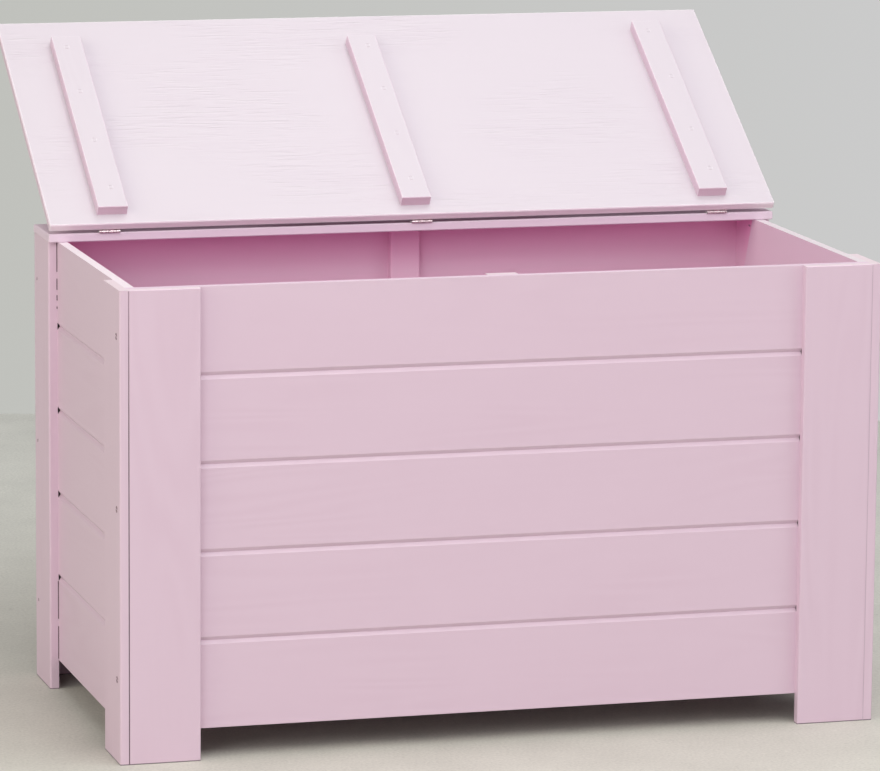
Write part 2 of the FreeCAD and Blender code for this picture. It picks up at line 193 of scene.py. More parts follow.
# Softboxes that all face the chest
lampAim = Vector((0, -0.1, 0.4))
lamps = {
    "overheadSoftbox": {"place": (0.4, -0.4, 3.3), "size": (3.0, 2.4), "power": 51, "colour": "#FFFFFF"},
    "highFrontSoftbox": {"place": (0.0, -3.0, 3.6), "size": (3.0, 2.0), "power": 55, "colour": "#FFFFFF"},
    "frontLeftSoftbox": {"place": (-3.0, -3.8, 2.0), "size": (2.4, 2.0), "power": 53, "colour": "#FFFFFF"},
    "leftSoftbox": {"place": (-3.6, -1.0, 2.0), "size": (2.4, 2.0), "power": 44, "colour": "#FFF9E7"},
    "rightSoftbox": {"place": (3.6, -2.4, 2.0), "size": (2.4, 2.0), "power": 42, "colour": "#FFFFFF"},
}
for name, lamp in lamps.items():
    data = bpy.data.lights.new(name, "AREA")
    data.shape = "RECTANGLE"
    data.size, data.size_y = lamp["size"]
    data.energy = lamp["power"]
    data.color = hexColour(lamp["colour"])[:3]
    light = bpy.data.objects.new(name, data)
    bpy.context.scene.collection.objects.link(light)
    facing = (lampAim - Vector(lamp["place"])).to_track_quat("-Z", "Y")
    light.matrix_world = Matrix.Translation(lamp["place"]) @ facing.to_matrix().to_4x4()
bpy.context.scene.view_settings.view_transform = "Standard"
print("stage and lights placed")


# Satin acrylic paint over planed softwood: an even film that still shows the raised grain below it,
# with a faint roller texture and arrises painted a little paler, partly rubbed paint and partly painted highlight
paint = {
    "colour": "#E0C7D7",
    "thin": "#D8BCCD",        # where the film is thinner over the grain
    "thinOnRings": {"From Min": 1, "From Max": -1, "To Min": 0.08, "To Max": 0.34},
    "thinInCloud": 0.35,
    "inside": "#EFA1CB",      # painted shade inside the chest, deepest right below the hinge rail
    "insideLow": "#EAC2D7",
    "insideRise": {"From Min": 537 * mm, "From Max": 592 * mm},
    "lightSlope": 0.433,      # the painted shadow inside starts where the light from the front stops, at a slanting line: its slope, and its place at the floor
    "lightStop": {"From Min": 304 * mm, "From Max": 307.5 * mm},
    "chamfer": "#D6BDCC",     # painted shade on the upper faces of the V joints
    "chamferUpward": (0.578, 0.06),   # upward share of their normal, and its play
    "shade": "#1E0F16",       # the V joints' ends behind the legs
    "tunnelHeights": (10 * mm, 590 * mm),
    "wornAndHighlit": "#EADAE2",        # paler arrises: partly rubbed paint, partly painted highlight
    "wearAndHighlight": (0.05, 0.45),     # share of the pale arris colour, rubbing and painted highlight, from smooth to raised grain
    "chipped": {"From Min": 0.36, "From Max": 0.66},
    "arris": 1.2 * mm,
    "arrisTurn": {"From Min": 0.995, "From Max": 0.86},
    "facing": {"From Min": 0.8, "From Max": 0.98},   # how squarely a face looks one way
    "level": {"From Min": 0.9, "From Max": 0.98},
    "contactShadow": {"From Min": 1.5 * mm, "From Max": 0.9 * mm},
    "roughness": 0.40,
    "sheen": (-0.04, 0.05),   # how far the roller's texture moves it
    "grain": {                # noise drawn out along the grain: width, stretch, detail and roughness
        "rings": (60 * mm, 12, 1.5, 0.35),   # growth rings: width of a cathedral figure
        "cloud": (90 * mm, 2.2, 1, 0.5),
        "fibres": (1.6 * mm, 40, 2, 0.5),    # raised fibres, coarser than the real 0.2 mm so that they show
        "checks": (4.5 * mm, 10, 0.6, 0.5),  # short raised lines of a plywood face, in loose clusters
    },
    "ringCount": 11,
    "ringsShow": {"From Min": 0.46, "From Max": 0.66, "To Min": 0.15},
    "ringHeight": 0.030 * mm,
    "fibreHeight": 0.016 * mm,
    "rollerGrain": 1.3 * mm,
    "rollerHeight": 0.006 * mm,
    "checkHeight": 0,
    "checked": {"From Min": 0.52, "From Max": 0.72},
    "checkPatches": {"From Min": 0.47, "From Max": 0.62},
    "boardPitch": 112.2 * mm,
    "boardFoot": 39 * mm,
    "boardShift": (0.83, 0.67, 0.41),
}

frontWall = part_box("front_wall_board_1")
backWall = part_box("back_wall_board_5")
leftInner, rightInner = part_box("left_wall_board_5")[1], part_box("right_wall_board_5")[0]
skin = 1 * mm
insideTop = 599.5 * mm
insideBox = ((leftInner.x - skin, frontWall[1].y - skin, 0), (rightInner.x + skin, backWall[0].y + skin, insideTop))
lidUnder = lidOpen.to_3x3() @ Vector((0, 0, -1))
lidAlong = lidOpen.to_3x3() @ Vector((0, 1, 0))


def grainScale(width, stretch, axis):
    # Scale of a pattern from its real width, drawn out along the grain
    scale = [1 / width] * 3
    scale["XYZ".index(axis)] = 1 / (width * stretch)
    return scale


def satinPaint(name, axis, turn=0, relief=1, boards=False, inside=False, look=None):
    # The grain runs along the axis, and look holds what differs from the paint above
    look = {**paint, **(look or {})}
    material, tree = newMaterial(name)
    coordinates = addNode(tree, "TexCoord").outputs
    place = coordinates["Object"]
    spot = addNode(tree, "SeparateXYZ", None, {"Vector": place}).outputs
    upward = addNode(tree, "SeparateXYZ", None, {"Vector": coordinates["Normal"]}).outputs["Z"]
    if turn:
        place = addNode(tree, "Mapping", None, {"Vector": place, "Rotation": (turn, 0, 0)}).outputs["Vector"]
    if boards:  # each board of a wall is cut from another place in the log
        board = addNode(tree, "Math", {"operation": "MULTIPLY_ADD"}, {
            0: spot["Z"], 1: 1 / look["boardPitch"], 2: -look["boardFoot"] / look["boardPitch"]}).outputs["Value"]
        board = addNode(tree, "Math", {"operation": "FLOOR"}, {0: board}).outputs["Value"]
        shift = addNode(tree, "VectorMath", {"operation": "SCALE"}, {0: look["boardShift"], "Scale": board})
        place = addNode(tree, "VectorMath", {"operation": "ADD"}, {
            0: place, 1: shift.outputs["Vector"]}).outputs["Vector"]

    grain = {}
    for pattern, (width, stretch, detail, roughness) in look["grain"].items():
        along = addNode(tree, "Mapping", None, {"Vector": place, "Scale": grainScale(width, stretch, axis)})
        grain[pattern] = addNode(tree, "TexNoise", None, {
            "Vector": along.outputs["Vector"], "Scale": 1, "Detail": detail, "Roughness": roughness}).outputs["Fac"]
    roller = addNode(tree, "TexNoise", None, {
        "Vector": place, "Scale": 1 / look["rollerGrain"], "Detail": 2}).outputs["Fac"]
    rings = addNode(tree, "Math", {"operation": "MULTIPLY"}, {
        0: grain["rings"], 1: look["ringCount"] * math.tau}).outputs["Value"]
    rings = addNode(tree, "Math", {"operation": "SINE"}, {0: rings}).outputs["Value"]
    shows = addNode(tree, "MapRange", None, {"Value": grain["cloud"], **look["ringsShow"]}).outputs["Result"]
    rings = addNode(tree, "Math", {"operation": "MULTIPLY"}, {0: rings, 1: shows}).outputs["Value"]

    height = addNode(tree, "Math", {"operation": "MULTIPLY"}, {
        0: rings, 1: look["ringHeight"] * relief}).outputs["Value"]
    for field, amount in ((grain["fibres"], look["fibreHeight"]), (roller, look["rollerHeight"])):
        height = addNode(tree, "Math", {"operation": "MULTIPLY_ADD"}, {
            0: field, 1: amount * relief, 2: height}).outputs["Value"]
    if look["checkHeight"]:
        checks = addNode(tree, "MapRange", None, {"Value": grain["checks"], **look["checked"]}).outputs["Result"]
        loose = addNode(tree, "MapRange", None, {
            "Value": grain["cloud"], **look["checkPatches"], "To Max": look["checkHeight"]}).outputs["Result"]
        height = addNode(tree, "Math", {"operation": "MULTIPLY_ADD"}, {
            0: checks, 1: loose, 2: height}).outputs["Value"]
    normal = addNode(tree, "Bump", None, {"Height": height, "Strength": 1, "Distance": 1}).outputs["Normal"]

    rounded = addNode(tree, "Bevel", {"samples": 4}, {"Radius": look["arris"]}).outputs["Normal"]
    flat = addNode(tree, "NewGeometry").outputs["True Normal"]
    facing = addNode(tree, "VectorMath", {"operation": "DOT_PRODUCT"}, {0: rounded, 1: flat}).outputs["Value"]
    edge = addNode(tree, "MapRange", None, {"Value": facing, **look["arrisTurn"]}).outputs["Result"]
    chips = addNode(tree, "MapRange", None, {
        "Value": grain["fibres"], **look["chipped"],
        "To Min": look["wearAndHighlight"][0], "To Max": look["wearAndHighlight"][1]}).outputs["Result"]
    rubbedAndHighlit = addNode(tree, "Math", {"operation": "MULTIPLY"}, {0: edge, 1: chips}).outputs["Value"]

    cover = addNode(tree, "MapRange", None, {"Value": rings, **look["thinOnRings"]}).outputs["Result"]
    cover = addNode(tree, "Math", {"operation": "MULTIPLY_ADD"}, {
        0: grain["cloud"], 1: look["thinInCloud"], 2: cover}).outputs["Value"]
    film = addNode(tree, "Mix", {"data_type": "RGBA"}, {
        "Factor": cover, 6: hexColour(look["colour"]), 7: hexColour(look["thin"])}).outputs[2]
    if "under" in look:  # painted light: faces that look down when the lid is shut face the light from above when it is open, and get a paler tone
        facing = addNode(tree, "VectorMath", {"operation": "DOT_PRODUCT"}, {
            0: coordinates["Normal"], 1: lidUnder}).outputs["Value"]
        under = addNode(tree, "MapRange", None, {"Value": facing, **look["facing"]}).outputs["Result"]
        pale = addNode(tree, "Mix", {"data_type": "RGBA"}, {
            "Factor": cover, 6: hexColour(look["under"]), 7: hexColour(look["underThin"])}).outputs[2]
        film = addNode(tree, "Mix", {"data_type": "RGBA"}, {"Factor": under, 6: film, 7: pale}).outputs[2]
    if "end" in look:  # painted light and shade: the lid's long edges and the ends of its battens get their own tone for how the light falls on them
        facing = addNode(tree, "VectorMath", {"operation": "DOT_PRODUCT"}, {
            0: coordinates["Normal"], 1: lidAlong}).outputs["Value"]
        facing = addNode(tree, "Math", {"operation": "ABSOLUTE"}, {0: facing}).outputs["Value"]
        edgeTone = addNode(tree, "MapRange", None, {"Value": facing, **look["facing"]}).outputs["Result"]
        film = addNode(tree, "Mix", {"data_type": "RGBA"}, {
            "Factor": edgeTone, 6: film, 7: hexColour(look["end"])}).outputs[2]
    if boards:
        sloped = addNode(tree, "Math", {"operation": "COMPARE"}, {
            0: upward, 1: look["chamferUpward"][0], 2: look["chamferUpward"][1]}).outputs["Value"]
        film = addNode(tree, "Mix", {"data_type": "RGBA"}, {
            "Factor": sloped, 6: film, 7: hexColour(look["chamfer"])}).outputs[2]
    if "rim" in look:  # painted light on flat tops: paler, for the light and its reflection from above
        level = addNode(tree, "MapRange", None, {"Value": upward, **look["level"]}).outputs["Result"]
        film = addNode(tree, "Mix", {"data_type": "RGBA"}, {
            "Factor": level, 6: film, 7: hexColour(look["rim"])}).outputs[2]
    if "foot" in look:  # painted shadow on the feet, darker where they meet the floor
        contactShadow = addNode(tree, "MapRange", None, {"Value": spot["Z"], **look["contactShadow"]}).outputs["Result"]
        film = addNode(tree, "Mix", {"data_type": "RGBA"}, {
            "Factor": contactShadow, 6: film, 7: hexColour(look["foot"])}).outputs[2]
    if inside:  # painted shade inside the chest: deeper toward the top under the hinge rail, and behind the slanting line where the rail's shadow falls; in front of it the lit colour
        shut = 1
        for axisName, low, high in zip("XYZ", insideBox[0], insideBox[1]):
            within = addNode(tree, "Math", {"operation": "COMPARE"}, {
                0: spot[axisName], 1: (low + high) / 2, 2: (high - low) / 2}).outputs["Value"]
            shut = addNode(tree, "Math", {"operation": "MULTIPLY"}, {0: shut, 1: within}).outputs["Value"]
        rise = addNode(tree, "MapRange", None, {"Value": spot["Z"], **look["insideRise"]}).outputs["Result"]
        deep = addNode(tree, "Mix", {"data_type": "RGBA"}, {
            "Factor": rise, 6: hexColour(look["insideLow"]), 7: hexColour(look["inside"])}).outputs[2]
        slant = addNode(tree, "Math", {"operation": "MULTIPLY_ADD"}, {
            0: spot["Z"], 1: look["lightSlope"], 2: spot["Y"]}).outputs["Value"]
        below = addNode(tree, "MapRange", None, {"Value": slant, **look["lightStop"]}).outputs["Result"]
        deep = addNode(tree, "Mix", {"data_type": "RGBA"}, {
            "Factor": below, 6: hexColour(look.get("insideLit", look["insideLow"])), 7: deep}).outputs[2]
        film = addNode(tree, "Mix", {"data_type": "RGBA"}, {"Factor": shut, 6: film, 7: deep}).outputs[2]
    colour = addNode(tree, "Mix", {"data_type": "RGBA"}, {
        "Factor": rubbedAndHighlit, 6: film, 7: hexColour(look["wornAndHighlit"])}).outputs[2]
    if "tunnel" in look:  # the V joints run on behind the legs, in the dark
        low, high = look["tunnelHeights"]
        dark = addNode(tree, "Math", {"operation": "COMPARE"}, {
            0: spot["Z"], 1: (low + high) / 2, 2: (high - low) / 2}).outputs["Value"]
        for axisName, low, high in look["tunnel"]:
            within = addNode(tree, "Math", {"operation": "COMPARE"}, {
                0: spot[axisName], 1: (low + high) / 2, 2: (high - low) / 2}).outputs["Value"]
            beyond = addNode(tree, "Math", {"operation": "SUBTRACT"}, {0: 1, 1: within}).outputs["Value"]
            dark = addNode(tree, "Math", {"operation": "MULTIPLY"}, {0: dark, 1: beyond}).outputs["Value"]
        colour = addNode(tree, "Mix", {"data_type": "RGBA"}, {
            "Factor": dark, 6: colour, 7: hexColour(look["shade"])}).outputs[2]

    sheen = addNode(tree, "MapRange", None, {
        "Value": roller, **noiseSpan, "To Min": look["roughness"] + look["sheen"][0],
        "To Max": look["roughness"] + look["sheen"][1]}).outputs["Result"]
    surface = addNode(tree, "BsdfPrincipled", None, {
        "Base Color": colour, "Roughness": sheen, "IOR": 1.5, "Normal": normal}).outputs["BSDF"]
    if "gap" in look:  # on the rail's top: a pale matte tone as painted light, and painted shade in the gap below the open lid
        above = addNode(tree, "MapRange", None, {"Value": spot["Z"], **look["top"]}).outputs["Result"]
        share = 1
        for axisName, start, end, before, after in look["gap"]:
            gapShade = addNode(tree, "MapRange", None, {
                "Value": spot[axisName], "From Min": start * mm, "From Max": end * mm,
                "To Min": before, "To Max": after}).outputs["Result"]
            share = addNode(tree, "Math", {"operation": "MULTIPLY"}, {0: share, 1: gapShade}).outputs["Value"]
        layer = addNode(tree, "Mix", {"data_type": "RGBA"}, {
            "Factor": share, 6: hexColour(look["paleTone"]), 7: hexColour(look["deep"])}).outputs[2]
        paleTone = addNode(tree, "BsdfPrincipled", None, {
            "Base Color": layer, "Roughness": look["paleToneRoughness"],
            "Specular IOR Level": look["paleToneShine"]}).outputs["BSDF"]
        surface = addNode(tree, "MixShader", None, {0: above, 1: surface, 2: paleTone}).outputs["Shader"]
    addNode(tree, "OutputMaterial", None, {"Surface": surface})
    return material


# Painted light: the lid's underside gets a paler tone, and its arrises a white line, partly rubbing on the hinges and
# hands and partly painted highlight
lidCoat = {"under": "#CFC6CD", "underThin": "#CABFC8", "wornAndHighlit": "#FFFFFF", "wearAndHighlight": (0.8, 1),
           "arris": 2.2 * mm, "end": "#ECD8E3", "checkHeight": 0.3 * mm}
battenCoat = {**lidCoat, "wearAndHighlight": (0.3, 0.9), "arris": 1.2 * mm, "checkHeight": 0, "end": "#DDBECE"}
# Painted light on the rail: a paler coat, and a pale matte tone on its top; painted shade in the narrow gap below the
# open lid, a deep tone most in the middle third: where each change starts and stops, in mm, and the deep tone's share
# before and after
railCoat = {"colour": "#E8D2E2", "thin": "#DFC7D8", "paleTone": "#F3E2ED", "deep": "#C294AE",
            "paleToneRoughness": 0.95, "paleToneShine": 0.1, "top": {"From Min": 610.4 * mm, "From Max": 610.9 * mm},
            "gap": (("Y", 37, 46, 0, 1), ("Y", 48, 60, 1, 0), ("X", -240, -170, 0.1, 1), ("X", 150, 220, 1, 0.1))}
# painted light: a paler tone on flat tops
flatTop = {"rim": "#DFCCD3", "wearAndHighlight": (0, 0.2)}
# the legs also carry painted shadow at their feet
legCoat = {**flatTop, "foot": "#7A6A74"}
fillCoat = {"colour": "#CBB2C3", "thin": "#C2A8B9", "wearAndHighlight": (0, 0.1)}
# The open stretch of each wall between its legs, and the wall's body inside its V joints
jointDepth = 4 * mm
sideRun = (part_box("front_left_leg_side_board")[1].y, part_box("back_left_leg_side_board")[0].y)
longRun = (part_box("front_left_leg_face_board")[1].x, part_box("front_right_leg_face_board")[0].x)
sideBody = (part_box("left_wall_board_1")[0].x + jointDepth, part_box("right_wall_board_1")[1].x - jointDepth)
longBody = (frontWall[0].y + jointDepth, backWall[1].y - jointDepth)
longWall = {"tunnel": (("X", *longRun), ("Y", *longBody))}
shortWall = {**flatTop, "insideLit": "#E7CBDC", "tunnel": (("Y", *sideRun), ("X", *sideBody))}
# painted light: each side wall's top gets its own pale tone for how the lamps light it
leftWall = {**shortWall, "rim": "#EBDEE5"}
rightWall = {**shortWall, "rim": "#DDD1D7"}
paints = {
    "wallLong": satinPaint("satinPaintOnPineLong", "X", boards=True, inside=True, look=longWall),
    "wallLeft": satinPaint("satinPaintOnPineLeft", "Y", boards=True, inside=True, look=leftWall),
    "wallRight": satinPaint("satinPaintOnPineRight", "Y", boards=True, inside=True, look=rightWall),
    "upright": satinPaint("satinPaintOnPineUpright", "Z", inside=True, look=legCoat),
    "filledJoint": satinPaint("satinPaintInJoint", "Z", look=fillCoat),
    "cleatLong": satinPaint("satinPaintOnBattenLong", "X"),
    "cleatShort": satinPaint("satinPaintOnBattenShort", "Y"),
    "lidBatten": satinPaint("satinPaintOnLidBatten", "Y", turn=openAngle, look=battenCoat),
    "cover": satinPaint("satinPaintOnPlywood", "X", relief=1.2),
    "rail": satinPaint("satinPaintOnHingeRail", "X", relief=1.2, look=railCoat),
    "lid": satinPaint("satinPaintOnLidPlywood", "X", turn=openAngle, relief=1.6, look=lidCoat),
}

# Brass-plated steel, rolled and tumbled: pale and bright, duller and browner where it has tarnished
brass = {
    "bright": "#E9DBDD",
    "tarnish": "#8C747A",
    "tarnished": {"From Min": 0.48, "From Max": 0.75},
    "spot": 2.5 * mm,
    "roughness": 0.30,
    "sheen": (-0.08, 0.15),
    "drawn": 0.25 * mm,       # lines of the rolled strip
    "drawnStretch": 30,
    "drawnHeight": 0.01 * mm,
    "drawnStrength": 0.4,
}
platedBrass, tree = newMaterial("platedBrass")
place = addNode(tree, "TexCoord").outputs["Object"]
spots = addNode(tree, "TexNoise", None, {"Vector": place, "Scale": 1 / brass["spot"], "Detail": 4}).outputs["Fac"]
dull = addNode(tree, "MapRange", None, {"Value": spots, **brass["tarnished"]}).outputs["Result"]
colour = addNode(tree, "Mix", {"data_type": "RGBA"}, {
    "Factor": dull, 6: hexColour(brass["bright"]), 7: hexColour(brass["tarnish"])}).outputs[2]
sheen = addNode(tree, "MapRange", None, {
    "Value": spots, **noiseSpan, "To Min": brass["roughness"] + brass["sheen"][0],
    "To Max": brass["roughness"] + brass["sheen"][1]}).outputs["Result"]
along = addNode(tree, "Mapping", None, {
    "Vector": place, "Scale": grainScale(brass["drawn"], brass["drawnStretch"], "X")}).outputs["Vector"]
drawn = addNode(tree, "TexNoise", None, {"Vector": along, "Scale": 1, "Detail": 1}).outputs["Fac"]
normal = addNode(tree, "Bump", None, {
    "Height": drawn, "Strength": brass["drawnStrength"], "Distance": brass["drawnHeight"]}).outputs["Normal"]
shader = addNode(tree, "BsdfPrincipled", None, {
    "Base Color": colour, "Metallic": 1, "Roughness": sheen, "Normal": normal})
addNode(tree, "OutputMaterial", None, {"Surface": shader.outputs["BSDF"]})

# Steel heads set below the face and painted over: mauve, dull and uneven, their darkness painted shade of the recess
# they sit in
fixing = {
    "skin": "#A88796",
    "pit": "#5E4450",
    "pitted": {"From Min": 0.42, "From Max": 0.6},
    "blot": 1.2 * mm,
    "blotHeight": 0.1 * mm,
    "blotStrength": 0.6,
    "roughness": 0.55,
}
paintedSteelInShade, tree = newMaterial("paintedOverSteelInShade")
place = addNode(tree, "TexCoord").outputs["Object"]
blots = addNode(tree, "TexNoise", None, {"Vector": place, "Scale": 1 / fixing["blot"], "Detail": 3}).outputs["Fac"]
missed = addNode(tree, "MapRange", None, {"Value": blots, **fixing["pitted"]}).outputs["Result"]
colour = addNode(tree, "Mix", {"data_type": "RGBA"}, {
    "Factor": missed, 6: hexColour(fixing["skin"]), 7: hexColour(fixing["pit"])}).outputs[2]
normal = addNode(tree, "Bump", None, {
    "Height": blots, "Strength": fixing["blotStrength"], "Distance": fixing["blotHeight"]}).outputs["Normal"]
shader = addNode(tree, "BsdfPrincipled", None, {
    "Base Color": colour, "Roughness": fixing["roughness"], "Normal": normal})
addNode(tree, "OutputMaterial", None, {"Surface": shader.outputs["BSDF"]})

# Painted shade in joints that the paint didn't bridge: near black, paler in blots and toward the top
crack = {
    "shade": "#2B1A23",
    "paleTone": "#B093A2",
    "paleToneRise": {"From Min": 420 * mm, "From Max": 590 * mm},   # more of it toward the top
    "paleToneInBlots": 0.4,
    "paleToneInJoint": 0.6,       # how much paler the painted shade gets at the top of a leg's joint, and of a crack at the wall
    "paleToneInCrack": 0,
    "blot": 9 * mm,
    "blotHeight": 0.1 * mm,
    "blotStrength": 0.5,
    "roughness": 0.9,
}


def jointShade(name, paleTone):
    material, tree = newMaterial(name)
    place = addNode(tree, "TexCoord").outputs["Object"]
    blots = addNode(tree, "TexNoise", None, {"Vector": place, "Scale": 1 / crack["blot"], "Detail": 3}).outputs["Fac"]
    height = addNode(tree, "SeparateXYZ", None, {"Vector": place}).outputs["Z"]
    height = addNode(tree, "MapRange", None, {
        "Value": height, **crack["paleToneRise"], "To Max": paleTone}).outputs["Result"]
    filled = addNode(tree, "Math", {"operation": "MULTIPLY_ADD", "use_clamp": True}, {
        0: blots, 1: crack["paleToneInBlots"], 2: height}).outputs["Value"]
    colour = addNode(tree, "Mix", {"data_type": "RGBA"}, {
        "Factor": filled, 6: hexColour(crack["shade"]), 7: hexColour(crack["paleTone"])}).outputs[2]
    normal = addNode(tree, "Bump", None, {
        "Height": blots, "Strength": crack["blotStrength"], "Distance": crack["blotHeight"]}).outputs["Normal"]
    shader = addNode(tree, "BsdfPrincipled", None, {
        "Base Color": colour, "Roughness": crack["roughness"], "Normal": normal})
    addNode(tree, "OutputMaterial", None, {"Surface": shader.outputs["BSDF"]})
    return material


openJoint = jointShade("openJointShade", crack["paleToneInJoint"])
openCrack = jointShade("openCrackShade", crack["paleToneInCrack"])


def materialFor(name):
    if name == "leg_nails":
        return paintedSteelInShade
    if name == "hinge_rail":
        return paints["rail"]
    if name.startswith("hinge_"):
        return platedBrass
    if name.startswith("lid_batten"):
        return paints["lidBatten"]
    if name == "lid_panel":
        return paints["lid"]
    if name == "bottom_panel":
        return paints["cover"]
    if "_leg_" in name or "inner_batten" in name:
        return paints["upright"]
    if "cleat" in name:
        return paints["cleatLong" if name.startswith(("front", "back")) else "cleatShort"]
    if name.startswith(("front", "back")):
        return paints["wallLong"]
    return paints["wallLeft" if name.startswith("left") else "wallRight"]


for name, node in nodes.items():
    node.data.materials.clear()
    node.data.materials.append(materialFor(name))
print("materials assigned")

squarely = 0.9   # a face looks along an axis when that share of its normal does


def settle(piece, name, material):
    # Puts the place of a finished piece into its mesh
    bpy.ops.object.transform_apply(location=True, rotation=True, scale=True)
    piece.name = name
    piece.data.name = name
    piece.data.materials.clear()
    piece.data.materials.append(material)


def editFaces(piece, test):
    # Selects the faces whose centre and normal pass the test
    mesh = bmesh.from_edit_mesh(piece.data)
    for face in mesh.faces:
        face.select_set(bool(test(face.calc_center_median(), face.normal)))
    bmesh.update_edit_mesh(piece.data)


def copyTo(piece, name, matrix):
    # A copy with its own mesh, moved there
    twin = piece.copy()
    twin.data = piece.data.copy()
    twin.data.transform(matrix)
    twin.name = name
    twin.data.name = name
    bpy.context.scene.collection.objects.link(twin)
    return twin


# Hinge screws: raised countersunk heads with a cross recess, in the holes of the leaves
screw = {
    "headRadius": 2.1 * mm,
    "rise": 0.75 * mm,
    "bed": 0.06 * mm,
    "crownInset": 0.35 * mm,
    "crownRise": 0.05 * mm,
    "crownReach": 1.7 * mm,   # the crown's faces have their centre inside this
    "rim": 0.97,              # the rim's vertices lie beyond this share of the radius
    "rimDrop": 0.32 * mm,
    "shankRadius": 1.1 * mm,
    "shankLength": 9 * mm,
    "tipInset": 0.8 * mm,
    "tipLength": 0.9 * mm,
    "recessWidth": 0.62 * mm,
    "recessReach": 1.25 * mm,
    "recessDepth": 0.45 * mm,
    "leaf": 0.8 * mm,
    "spacing": 9 * mm,
    "fromPin": 6.35 * mm,
    "spin": 0.5,              # turn of the cross in radians, and how far it differs to each side
    "spinStep": 0.9,
}
bpy.ops.object.select_all(action="DESELECT")
bpy.ops.mesh.primitive_cylinder_add(vertices=32, radius=screw["headRadius"], depth=screw["rise"],
                                    location=(0, 0, screw["rise"] / 2 - screw["bed"]))
head = bpy.context.object
bpy.ops.object.mode_set(mode="EDIT")
editFaces(head, lambda at, normal: normal.z > squarely)
bpy.ops.mesh.inset(thickness=screw["crownInset"], depth=0)
bpy.ops.transform.translate(value=(0, 0, screw["crownRise"]))
mesh = bmesh.from_edit_mesh(head.data)
for vertex in mesh.verts:
    if vertex.co.z > 0 and math.hypot(vertex.co.x, vertex.co.y) > screw["headRadius"] * screw["rim"]:
        vertex.co.z -= screw["rimDrop"]
bmesh.update_edit_mesh(head.data)
for axis in (Vector((1, 0, 0)), Vector((0, 1, 0))):
    for offset in (-1, 1):
        for size in (screw["recessWidth"] / 2, screw["recessReach"]):
            editFaces(head, lambda at, normal: normal.z > squarely
                      and math.hypot(at.x, at.y) < screw["crownReach"])
            bpy.ops.mesh.bisect(plane_co=tuple(axis * offset * size), plane_no=tuple(axis))
half = screw["recessWidth"] / 2
editFaces(head, lambda at, normal: normal.z > squarely and min(abs(at.x), abs(at.y)) < half
          and max(abs(at.x), abs(at.y)) < screw["recessReach"])
bpy.ops.mesh.extrude_region_move(TRANSFORM_OT_translate={"value": (0, 0, -screw["recessDepth"])})
editFaces(head, lambda at, normal: normal.z < -squarely and at.z < 0)
bpy.ops.mesh.inset(thickness=screw["headRadius"] - screw["shankRadius"], depth=0)
bpy.ops.mesh.extrude_region_move(TRANSFORM_OT_translate={"value": (0, 0, -screw["shankLength"])})
bpy.ops.mesh.inset(thickness=screw["tipInset"], depth=-screw["tipLength"])
bpy.ops.object.mode_set(mode="OBJECT")
settle(head, "hingeScrew", platedBrass)
for hingeName in ("left", "middle", "right"):
    low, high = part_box("hinge_%s_pin" % hingeName)
    centre = (low.x + high.x) / 2
    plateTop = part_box("hinge_%s_rail_leaf" % hingeName)[0].z + screw["leaf"]
    down = plateTop - pinPoint.z
    for side in (-1, 1):
        spin = Matrix.Rotation(screw["spin"] + side * screw["spinStep"] + centre, 4, "Z")
        number = 1 if side < 0 else 2
        at = Matrix.Translation((centre + side * screw["spacing"], pinPoint.y + screw["fromPin"], plateTop))
        piece = copyTo(head, "hingeScrew_%s_rail_%d" % (hingeName, number), at @ spin)
        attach(piece, "chest")
        at = lidOpen @ Matrix.Translation((centre + side * screw["spacing"], -screw["fromPin"], down))
        piece = copyTo(head, "hingeScrew_%s_lid_%d" % (hingeName, number), at @ spin)
        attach(piece, "lid")
bpy.data.objects.remove(head)
print("hinge screws made")


# Screws through the lid battens, sunk and painted over: a flat head with painted shade at its upper and lower rim
mark = {
    "radius": 3.6 * mm,
    "thick": 0.6 * mm,
    "rise": 0.1 * mm,
    "ring": 0.4 * mm,
    "lip": 0.4 * mm,
    "dish": 1.2 * mm,
    "dishDepth": 0.06 * mm,
    "smooth": math.radians(50),
    "places": {               # across the lid and away from the hinge pin, in mm
        "left": ((-411.3, 58.5), (-415.1, 155.3), (-416.2, 256.9), (-417.5, 350.6)),
        "middle": ((-1, 59), (1.5, 153), (4.2, 247.3), (2.6, 340)),
        "right": ((421.8, 61.3), (418, 144.7), (420.4, 258), (413, 358.8)),
    },
    "face": -26.4 * mm,       # the battens' faces, below the pin when the lid is shut
}
bpy.ops.object.select_all(action="DESELECT")
bpy.ops.mesh.primitive_cylinder_add(vertices=28, radius=mark["radius"], depth=mark["thick"],
                                    location=(0, 0, mark["rise"] - mark["thick"] / 2))
disc = bpy.context.object
bpy.ops.object.mode_set(mode="EDIT")
editFaces(disc, lambda at, normal: normal.z > squarely)
bpy.ops.mesh.inset(thickness=mark["ring"], depth=0)
bpy.ops.mesh.inset(thickness=mark["lip"], depth=0)
bpy.ops.transform.translate(value=(0, 0, mark["rise"]))
bpy.ops.mesh.inset(thickness=mark["dish"], depth=0)
bpy.ops.transform.translate(value=(0, 0, -mark["dishDepth"]))
bpy.ops.object.mode_set(mode="OBJECT")
bpy.ops.object.shade_smooth_by_angle(angle=mark["smooth"])
settle(disc, "sunkHead", paints["lidBatten"])
disc.data.materials.append(paintedSteelInShade)
for face in disc.data.polygons:
    onRing = face.normal.z > squarely and face.center.xy.length > mark["radius"] - mark["ring"]
    face.material_index = int(onRing and abs(face.center.y) > abs(face.center.x))
for battenName, places in mark["places"].items():
    for number, (across, away) in enumerate(places, start=1):
        at = lidOpen @ Matrix.Translation((across * mm, -away * mm, mark["face"]))
        piece = copyTo(disc, "battenScrewMark_%s_%d" % (battenName, number), at @ Matrix.Rotation(math.pi, 4, "X"))
        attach(piece, "lid")
bpy.data.objects.remove(disc)
print("batten screw marks made")


